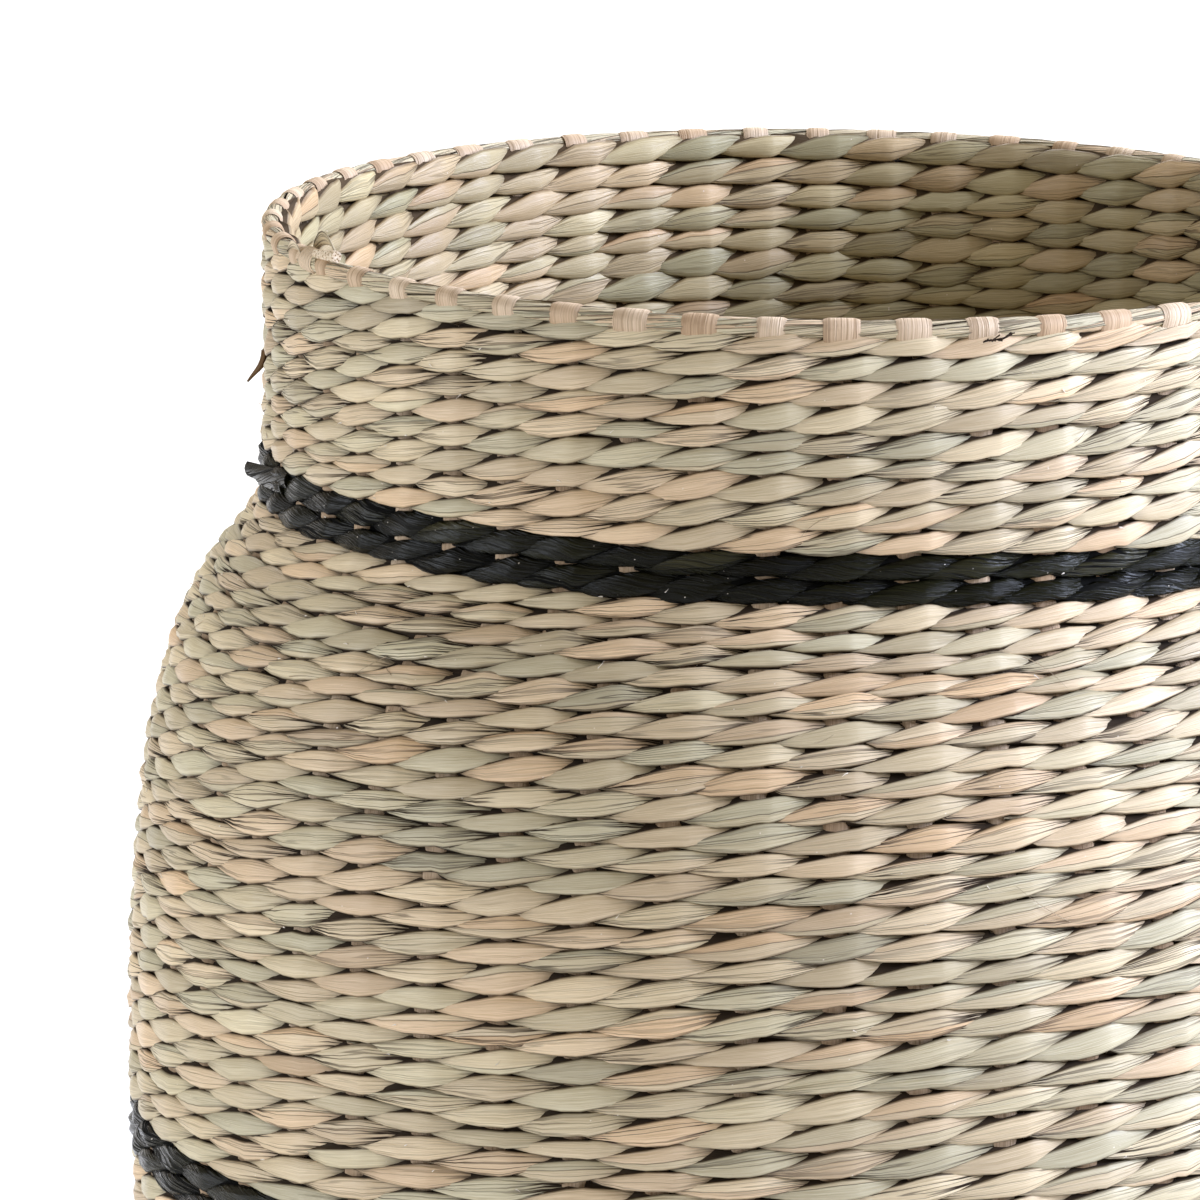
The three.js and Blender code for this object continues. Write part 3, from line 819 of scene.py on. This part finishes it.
# Cut leaf pith is pale, dry and full of pores, drawn 0.55 mm wide, larger than they are, so that they show.
# The pores' dark brown middles are painted shade in the holes
pith = {"pore": 0.55, "relief": 0.3, "palette": {0.12: "#5d452c", 0.35: "#d3bb98", 0.8: "#eadcc4"}}
cutPith = newMaterial("cut leaf pith")
pithPlace = addNode(cutPith, "TexCoord", out="Object")
pores = addNode(cutPith, "TexVoronoi", {"Vector": pithPlace, "Scale": 1 / (pith["pore"] * millimetre)})
pithSkin = addNode(cutPith, "ValToRGB", {"Fac": pores}, stops=pith["palette"])
pithBump = addNode(cutPith, "Bump", {
    "Height": pores, "Strength": 0.8, "Distance": pith["relief"] * millimetre})
pithShader = addNode(cutPith, "BsdfPrincipled", {
    "Base Color": pithSkin, "Roughness": 0.85, "Specular IOR Level": 0.15, "Normal": pithBump})
addNode(cutPith, "OutputMaterial", {"Surface": pithShader})


def spliceLeaves(form=splice):
    # Arches along the rim: each leaf rises and falls as a power of a half sine of its length, and its width
    # as that half sine
    t = np.linspace(0, 1, form["leafRings"])
    arch = np.sin(np.pi * t)
    up = np.array([0, 0, 1.0])
    centre, across, width = [], [], []
    for bent in form["leaves"]:
        angle = uprightAngle * (cord["splice"] + bent["start"] + (bent["end"] - bent["start"]) * t)
        height = cordHeight + bent["base"] + bent["rise"] * arch ** form["archPower"]
        centre.append(inSpace(cord["radius"] + bent["out"] - form["drawIn"] * arch, angle, height))
        across.append(form["lean"] * inSpace(np.ones(len(t)), angle, 0 * t) + up)
        width.append(form["leafEnd"] + (bent["half"] - form["leafEnd"]) * arch)
    width = np.stack(width)
    tone = np.array([[bent["tone"]] for bent in form["leaves"]])
    return leafStrip("rim_splice_leaves", np.stack(centre), np.stack(across), width,
                     np.full(width.shape, form["leafThick"]), naturalSeagrass, tone, form["leafSeed"])


def spliceEnd(form=splice):
    # A short oval stub along the cord that rises and widens a little
    t = np.linspace(0, 1, form["endRings"])
    angle = uprightAngle * (cord["splice"] + form["endStart"] + form["endLength"] * t)
    height = cordHeight + form["endBase"] + form["endRise"] * t
    centre = inSpace(cord["radius"] + form["endOut"], angle, height)
    across = inSpace(np.full(len(t), form["endLean"]), angle, np.ones(len(t)))
    begin, end = form["endHalves"]
    half = (begin + (end - begin) * t)[None]
    return leafStrip("rim_splice_end", centre[None], across[None], half, form["endFlat"] * half, cutPith,
                     np.array([[0.5]]), form["endSeed"])


# Loose ends: hair-fine fibres that have come away all over the outside, and short pale lint
fibres = {"count": 130, "shortest": 3, "longest": 13, "radius": 0.13, "rings": 7, "seed": 55}
lint = {"count": 420, "shortest": 0.5, "longest": 1.8, "radius": 0.17, "rings": 4, "seed": 57}
loose = {
    "radius": 145,                          # turns a length round the vase into an angle
    "turn": (0.6, 1),                       # share of a fibre's length that goes round the vase
    "slope": (0.1, 0.35), "curl": 0.25,     # middle and spread up the wall
    "away": (0.02, 0.12), "awayCurl": (0.02, 0.08),
    "start": 3.2, "least": 2.8,             # out from the wall's middle line
    "footGap": 30, "rimGap": 4,             # none start this close to the base or the rim
    "taper": 0.75, "tones": (0.6, 1),
}

# Bleached fibre is nearly white and dull, so it shows on the dark bands and in the gaps
bleachedFibre = leafMaterial("bleached fibre", {
    "palette": {0.0: "#d8cbb2", 1.0: "#f4eee2"},
    "width": 0.36, "slant": 0.0,
    "veinSize": (7.8, 0.06), "veinDark": (0.85, 0.83, 0.8), "veinLight": 1.1, "veinRelief": 0.5,
    "pleat": "#b7a88c", "pleatSize": (15.6, 0.12), "pleatWidths": (0.018, 0.045), "pleatDepths": (0.3, 0.3),
    "tipShade": 0.0, "edgeShade": 0.0, "shadeTint": (0.7, 0.6, 0.5), "gapShade": 0.0, "dust": 0.0,
    "bump": 0.5, "roughness": 0.7, "gloss": 0.3,
})


def looseFibres(name, material, form):
    # Each fibre leaves its leaf at a low slope and curls a little as the square of the distance
    rng = np.random.default_rng(form["seed"])
    each = (form["count"], 1)
    t = np.linspace(0, 1, form["rings"])
    length = rng.uniform(form["shortest"], form["longest"], each)
    way = rng.choice([-1, 1], each) * rng.uniform(*loose["turn"], each)
    angle = rng.uniform(0, 2 * np.pi, each) + way * length * t / loose["radius"]
    rise = length * (rng.normal(*loose["slope"], each) * t + rng.normal(0, loose["curl"], each) * t ** 2)
    along = rng.uniform(flatEnd + loose["footGap"], wallTop - loose["rimGap"], each) + rise
    away = rng.uniform(*loose["away"], each) * t + rng.normal(*loose["awayCurl"], each) * t ** 2
    centre = byWall(angle, along, np.maximum(loose["start"] + length * away, loose["least"]))
    across = np.broadcast_to([0.0, 0, 1], centre.shape)
    size = form["radius"] * (1 - loose["taper"] * t) + 0 * length
    tone = rng.uniform(*loose["tones"], each)
    return leafStrip(name, centre, across, size, size, material, tone, form["seed"] + 1)


# Torn bits: a dry leaf tip that hangs out at the left of the neck and a ragged dark scrap under the rim
torn = {
    "tipAngle": math.radians(-86), "tipSway": 0.012, "tipSwayRate": 5,
    "tipStart": 26, "tipLength": 7.5,       # down from the weave's top
    "tipFoot": 2.4, "tipOut": 4.2,          # out from the wall's middle line, and further at its end
    "tipCurve": 1.4,
    "tipWidths": (2.3, 0.4), "tipThicks": (1.15, 0.25), "tipTone": 0.5,     # halves, at its start and end
    "scrapAngle": math.radians(15.2), "scrapLength": 0.05, "scrapMiddle": 0.6,
    "scrapBase": 0.2, "scrapRise": 1.3,     # up from the weave's top
    "scrapOut": 4.4, "scrapWave": 0.2, "scrapRates": (8, 11),       # waves up the wall and out from it
    "scrapHalf": (0.12, 0.28), "scrapTones": (0, 0.2),
    "barbs": 8, "barbLengths": (0.12, 0.25), "lastBarb": 0.85, "barbSlope": 0.35,
    "rings": 8, "seed": 61,
}


def tornBits(form=torn):
    # The tip leans out as a power of its length. The scrap is a wavy thread with short barbs lying along it.
    rng = np.random.default_rng(form["seed"])
    t = np.linspace(0, 1, form["rings"])
    tip = byWall(form["tipAngle"] + form["tipSway"] * np.sin(form["tipSwayRate"] * t),
                 wallTop - form["tipStart"] - form["tipLength"] * t,
                 form["tipFoot"] + form["tipOut"] * t ** form["tipCurve"])
    barbs = (form["barbs"], 1)
    start = np.concatenate([[0], np.linspace(0, form["lastBarb"], form["barbs"])])[:, None]
    long = np.concatenate([[[1.0]], rng.uniform(*form["barbLengths"], barbs)])
    slope = np.concatenate([[[0.0]], rng.normal(0, form["barbSlope"], barbs)])
    share = start + long * t
    upWave, outWave = [form["scrapWave"] * np.sin(rate * share) for rate in form["scrapRates"]]
    scrap = byWall(form["scrapAngle"] + form["scrapLength"] * (share - form["scrapMiddle"]),
                   wallTop + form["scrapBase"] + form["scrapRise"] * share + upWave + slope * t,
                   form["scrapOut"] + outWave)
    centre = np.concatenate([tip[None], scrap])
    across = np.zeros(centre.shape)
    across[0, :, 1] = 1
    across[1:, :, 2] = 1
    ragged = rng.uniform(*form["scrapHalf"], scrap.shape[:2])
    width, thick = [np.concatenate([(end + (begin - end) * (1 - t))[None], ragged])
                    for begin, end in (form["tipWidths"], form["tipThicks"])]
    tone = np.concatenate([[[form["tipTone"]]], rng.uniform(*form["scrapTones"], (len(scrap), 1))])
    return leafStrip("torn_bits", centre, across, width, thick, weatheredLeaf, tone, form["seed"] + 1)


# Cut ends of the dyed strands, which stand out a little at the left where the upper dark band starts
bandEnds = {
    "angle": math.radians(-72),
    "ends": [               # radians round the vase, millimetres down from the band's top and out
        {"turn": 0, "reach": -0.22, "drop": 3.0, "fall": 3.2, "rise": 4.2, "tone": 0.4},
        {"turn": -0.03, "reach": -0.15, "drop": 5.2, "fall": 1.2, "rise": 2.4, "tone": 0.7},
    ],
    "foot": 2.5,            # out from the wall's middle line at the start
    "halfWidth": 2.0, "halfThick": 0.8,
    "narrow": 0.7, "arch": (0.15, 0.85),    # widths start from this share, over this part of a half sine
    "rings": 9, "seed": 71,
}


def dyedEnds(form=bandEnds):
    # Two strips leave the wall as the square of their length and end blunt
    t = np.linspace(0, 1, form["rings"])
    centre = np.stack([byWall(form["angle"] + end["turn"] + end["reach"] * t,
                              neckStart - end["drop"] - end["fall"] * t,
                              form["foot"] + end["rise"] * t ** 2) for end in form["ends"]])
    across = np.broadcast_to([0, 0.2, 1.0], centre.shape)
    arch = np.sin(np.pi * np.linspace(*form["arch"], len(t)))
    taper = np.broadcast_to(form["narrow"] + (1 - form["narrow"]) * arch, centre.shape[:2])
    tone = np.array([[end["tone"]] for end in form["ends"]])
    return leafStrip("shoulder_band_ends", centre, across, form["halfWidth"] * taper,
                     form["halfThick"] * taper, blackSeagrass, tone, form["seed"])


looseEnds = [
    (spliceLeaves(), "rim_cord", "rim_seagrass"),
    (spliceEnd(), "rim_cord", "rim_seagrass"),
    (looseFibres("loose_fibres", naturalSeagrass, fibres), "belly_outer_weft", "natural_seagrass"),
    (looseFibres("loose_lint", bleachedFibre, lint), "belly_outer_weft", "natural_seagrass"),
    (tornBits(), "neck_outer_weft", "natural_seagrass"),
    (dyedEnds(), "shoulder_band_outer_weft", "black_seagrass"),
]
for piece, node, finish in looseEnds:
    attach(piece, "root")
    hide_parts(node)
print("loose ends made")

# Camera, as the photograph was taken: a long lens a little above the rim, tipped very slightly
photo = {
    "aim": Vector((-51.9, 0, 288.8)),
    "distance": 2200,
    "elevation": math.radians(12.1),
    "roll": math.radians(0.72),
    "lens": 283.5,
    "sensor": 36,
    "farthest": 50,         # metres
}
ahead = Vector((0, math.cos(photo["elevation"]), -math.sin(photo["elevation"])))
right = Vector((1, 0, 0))
above = right.cross(ahead)
tippedRight = right * math.cos(photo["roll"]) + above * math.sin(photo["roll"])
tippedAbove = above * math.cos(photo["roll"]) - right * math.sin(photo["roll"])
camera = bpy.data.objects.new("camera", bpy.data.cameras.new("camera"))
bpy.context.scene.collection.objects.link(camera)
camera.matrix_world = Matrix.Translation((photo["aim"] - photo["distance"] * ahead) * millimetre) @ Matrix(
    (tippedRight, tippedAbove, -ahead)).transposed().to_4x4()
camera.data.lens = photo["lens"]
camera.data.sensor_width = photo["sensor"]
camera.data.clip_end = photo["farthest"]
bpy.context.scene.camera = camera

# Plain white studio in metres: pale floor, even warm surround, a large soft key light from the right, a weak
# fill from the left and a light on the floor behind
studio = {"floorHalf": 9, "floor": "#f6f6f4", "surround": "#fff1e1", "strength": 0.335}
floorMaterial = newMaterial("pale floor")
floorShader = addNode(floorMaterial, "BsdfPrincipled", {
    "Base Color": colour(studio["floor"]), "Roughness": 0.8, "Specular IOR Level": 0.1})
addNode(floorMaterial, "OutputMaterial", {"Surface": floorShader})
floorMesh = bpy.data.meshes.new("floor")
floorMesh.from_pydata([(x * studio["floorHalf"], y * studio["floorHalf"], 0)
                       for x, y in ((-1, -1), (1, -1), (1, 1), (-1, 1))], [], [(0, 1, 2, 3)])
floorMesh.materials.append(floorMaterial)
floor = bpy.data.objects.new("floor", floorMesh)
bpy.context.scene.collection.objects.link(floor)

world = bpy.data.worlds.new("studio")
world.use_nodes = True
world.node_tree.nodes["Background"].inputs["Color"].default_value = colour(studio["surround"])
world.node_tree.nodes["Background"].inputs["Strength"].default_value = studio["strength"]
bpy.context.scene.world = world

lamps = [
    {"name": "key", "from": (1.7, -0.35, 1.15), "to": (0, 0, 0.25), "size": 1.0, "power": 87,
     "colour": "#d7e1ff"},
    {"name": "fill", "from": (-1.7, -0.3, 0.4), "to": (0, 0, 0.25), "size": 1.2, "power": 19,
     "colour": "#e8f0ff"},
    {"name": "background", "from": (0, 2.2, 2.0), "to": (0, 2.0, 0), "size": 2.4, "power": 70,
     "colour": "#ffffff"},
]
for lamp in lamps:
    data = bpy.data.lights.new(lamp["name"], "AREA")
    data.size = lamp["size"]
    data.energy = lamp["power"]
    data.color = colour(lamp["colour"])[:3]
    holder = bpy.data.objects.new(lamp["name"], data)
    holder.location = lamp["from"]
    holder.rotation_euler = (Vector(lamp["to"]) - holder.location).to_track_quat("-Z", "Y").to_euler()
    bpy.context.scene.collection.objects.link(holder)
bpy.context.scene.view_settings.view_transform = "Standard"
print("camera and light made")
